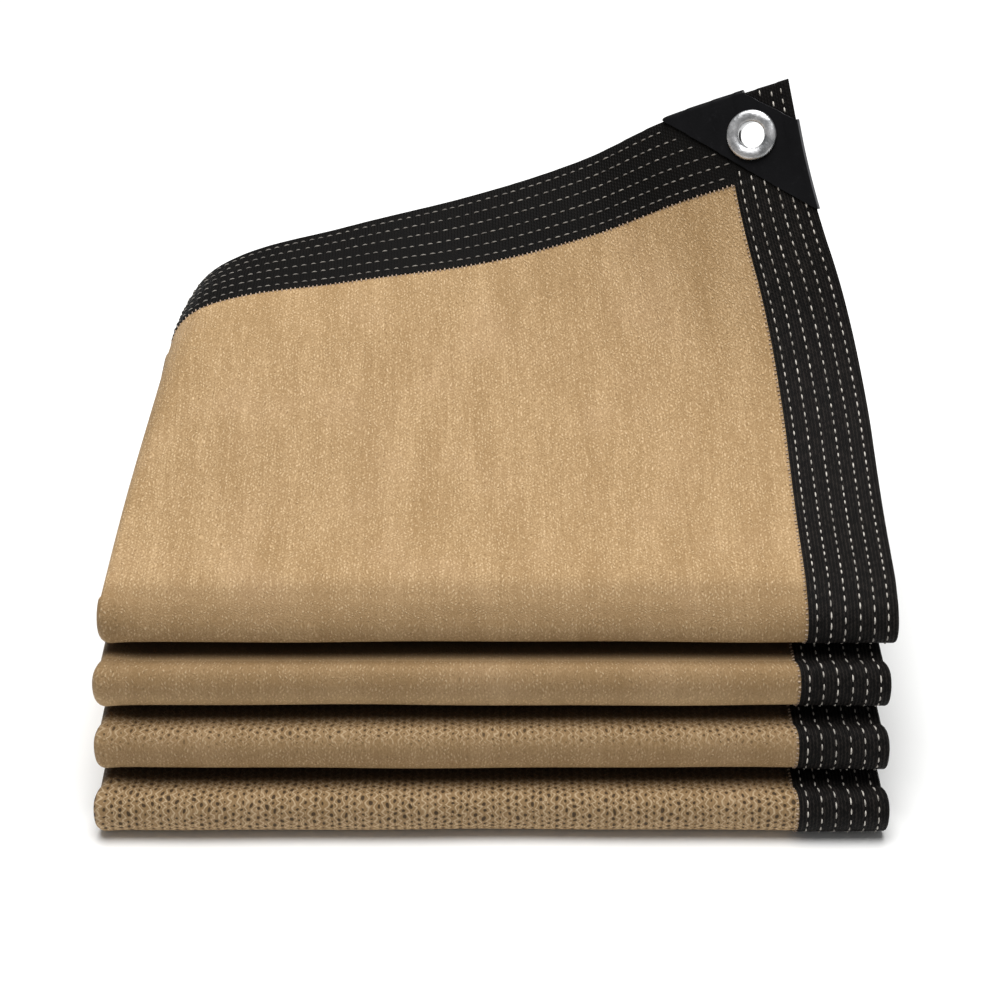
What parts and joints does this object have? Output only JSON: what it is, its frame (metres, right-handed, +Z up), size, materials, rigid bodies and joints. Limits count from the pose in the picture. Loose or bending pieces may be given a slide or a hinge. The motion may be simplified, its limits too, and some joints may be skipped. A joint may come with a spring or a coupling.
{
  "type": "shade net",
  "caption": "Knitted shade net doubled lengthwise and folded back and forth into a pack, bound with tape, its raised top corner holding a patch with an eyelet.",
  "frame": {"origin": "middle of the bottom of the pack's bounding box, on the surface that the pack lies on", "axes": "+Z up, +X from the fold line at the left to the open edges at the right, +Y to the back, away from the round front folds"},
  "size_m": [0.388, 0.3076, 0.2697],
  "materials": {
    "net": "matte knitted tape yarn with a slight sheen",
    "tape": "matte black knitted binding with rows of pale stitching",
    "patch": "smooth black plastic",
    "eyelet": "bright pressed aluminium"
  },
  "bodies": {
    "root": {"net_cloth": "net", "side_border": "tape", "side_border_under": "tape", "end_border": "tape", "end_border_lower": "tape", "corner_border": "tape", "corner_patch": "patch", "eyelet": "eyelet"}
  },
  "joints": []
}
